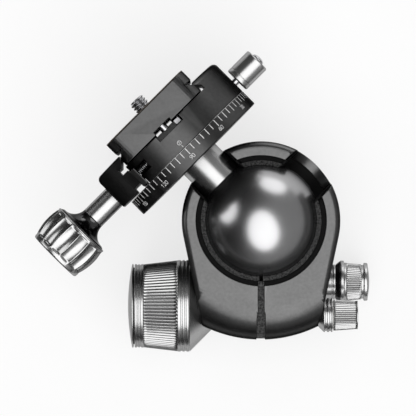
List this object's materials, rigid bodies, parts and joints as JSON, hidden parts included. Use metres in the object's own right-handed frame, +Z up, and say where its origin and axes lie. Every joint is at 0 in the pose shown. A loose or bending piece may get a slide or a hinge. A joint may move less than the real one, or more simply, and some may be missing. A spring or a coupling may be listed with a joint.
{
  "type": "tripod ball head",
  "caption": "Tripod ball head with a split housing, drop notches, lock, friction and pan knobs, and a panning screw clamp that holds a camera plate.",
  "frame": {"origin": "centre of the tripod thread at the base's lower face", "axes": "+Z up along the pan axis; -Y towards the split front of the housing; the main lock knob points to -X and the small knobs to +X; the stem lies in the drop notch towards -X+Y"},
  "size_m": [0.1247, 0.1117, 0.07],
  "materials": {
    "anodised_black": "satin black anodised",
    "ball_polish": "polished dark hard anodised",
    "satin_silver": "satin turned, clear anodised",
    "steel": "machined",
    "blackened_steel": "blackened",
    "bearing_grey": "machined",
    "gloss_black": "polished black anodised",
    "liner": "speckled dark grey low friction plastic",
    "band_black": "matt black",
    "filler_grey": "speckled dark grey",
    "washer_white": "low friction plastic",
    "pad_rubber": "brown black, fine grain",
    "brass": "machined"
  },
  "bodies": {
    "base": {"base_plate": "anodised_black", "thread_insert": "steel", "pan_washer": "washer_white", "lift_washer": "washer_white", "retainer": "steel", "retainer_screws": "steel"},
    "housing": {"bearing_ring": "bearing_grey", "ring_screws": "blackened_steel", "housing": "anodised_black", "ball_liner": "liner", "lip_band": "band_black", "slot_filler": "filler_grey", "barrel_nut": "steel", "friction_collar": "satin_silver", "pan_collar": "satin_silver"},
    "main_carrier": {"main_washer": "washer_white"},
    "main_knob": {"main_knob": "satin_silver", "main_knob_cap": "satin_silver", "main_screw": "steel"},
    "friction_carrier": {"friction_washer": "washer_white"},
    "friction_knob": {"friction_knob": "satin_silver", "friction_screw": "steel"},
    "pan_plug": {"pan_plug": "brass"},
    "pan_knob": {"pan_knob": "satin_silver", "pan_knob_ring": "gloss_black", "pan_screw": "steel"},
    "ball": {"ball": "ball_polish", "stem": "satin_silver", "scale_disc": "anodised_black", "stem_bolt": "steel", "glide_washer": "washer_white"},
    "clamp": {"clamp_body": "anodised_black", "guide_pins": "steel", "release_springs": "steel", "groove_key": "steel"},
    "jaw": {"movable_jaw": "anodised_black"},
    "clamp_knob": {"jaw_screw": "steel", "knob_shaft": "satin_silver", "knob_flare": "gloss_black", "knob_barrel": "satin_silver"},
    "nip_shoe": {"nip_shoe": "brass"},
    "nip_knob": {"nip_knob": "satin_silver", "nip_screw": "steel"},
    "plate": {"camera_plate": "anodised_black", "plate_pad": "pad_rubber", "stop_screws": "steel"},
    "screw_clip": {"screw_clip": "steel"},
    "camera_screw": {"camera_screw": "steel"}
  },
  "joints": [
    {"name": "pan", "type": "hinge", "parent": "base", "child": "housing", "pos_m": [0, 0, 0.011], "axis": [0, 0, 1], "continuous": true},
    {"name": "main_travel", "type": "slide", "parent": "housing", "child": "main_carrier", "axis": [-1, 0, 0], "range_m": [0, 0.000625]},
    {"name": "main_turn", "type": "hinge", "parent": "main_carrier", "child": "main_knob", "pos_m": [-0.0265, -0.0319, 0.027], "axis": [-1, 0, 0], "range_deg": [0, 180]},
    {"name": "friction_travel", "type": "slide", "parent": "housing", "child": "friction_carrier", "axis": [1, 0, 0], "range_m": [0, 0.0008]},
    {"name": "friction_turn", "type": "hinge", "parent": "friction_carrier", "child": "friction_knob", "pos_m": [0.0266, -0.0351, 0.037], "axis": [1, 0, 0], "range_deg": [0, 360]},
    {"name": "pan_lock_travel", "type": "slide", "parent": "housing", "child": "pan_plug", "axis": [1, 0, 0], "range_m": [0, 0.001]},
    {"name": "pan_lock_turn", "type": "hinge", "parent": "pan_plug", "child": "pan_knob", "pos_m": [0.0284, -0.0232, 0.01125], "axis": [1, 0, 0], "range_deg": [0, 360]},
    {"name": "ball_tilt", "type": "hinge", "parent": "housing", "child": "ball", "pos_m": [0, 0, 0.04], "axis": [0.7071, 0.7071, 0], "range_deg": [0, 125]},
    {"name": "clamp_pan", "type": "hinge", "parent": "ball", "child": "clamp", "pos_m": [0, 0, 0.04], "axis": [-0.7071, 0.7071, 0], "continuous": true},
    {"name": "jaw_slide", "type": "slide", "parent": "clamp", "child": "jaw", "axis": [-0.7071, -0.7071, 0], "range_m": [0, 0.005], "deforming": ["release_springs"]},
    {"name": "clamp_knob_turn", "type": "hinge", "parent": "jaw", "child": "clamp_knob", "pos_m": [-0.05431, 0.00877, 0.04], "axis": [-0.7071, -0.7071, 0], "range_deg": [0, 1440]},
    {"name": "nip_travel", "type": "slide", "parent": "clamp", "child": "nip_shoe", "axis": [0.7071, 0.7071, 0], "range_m": [0, 0.00075]},
    {"name": "nip_turn", "type": "hinge", "parent": "nip_shoe", "child": "nip_knob", "pos_m": [-0.00891, 0.0519, 0.04], "axis": [0.7071, 0.7071, 0], "range_deg": [0, 540]},
    {"name": "plate_slide", "type": "slide", "parent": "clamp", "child": "plate", "axis": [0, 0, 1], "range_m": [-0.014, 0.014]},
    {"name": "screw_slide", "type": "slide", "parent": "plate", "child": "screw_clip", "axis": [0, 0, 1], "range_m": [-0.009, 0.009]},
    {"name": "camera_screw_turn", "type": "hinge", "parent": "screw_clip", "child": "camera_screw", "pos_m": [-0.04303, 0.04126, 0.04], "axis": [-0.7071, 0.7071, 0], "continuous": true}
  ],
  "couplings": [
    {"joint": "main_turn", "follows": "main_travel", "rad_per_m": 5026.5},
    {"joint": "friction_turn", "follows": "friction_travel", "rad_per_m": 7854},
    {"joint": "pan_lock_turn", "follows": "pan_lock_travel", "rad_per_m": 6283.2},
    {"joint": "clamp_knob_turn", "follows": "jaw_slide", "rad_per_m": 5026.5},
    {"joint": "nip_turn", "follows": "nip_travel", "rad_per_m": 12566}
  ]
}
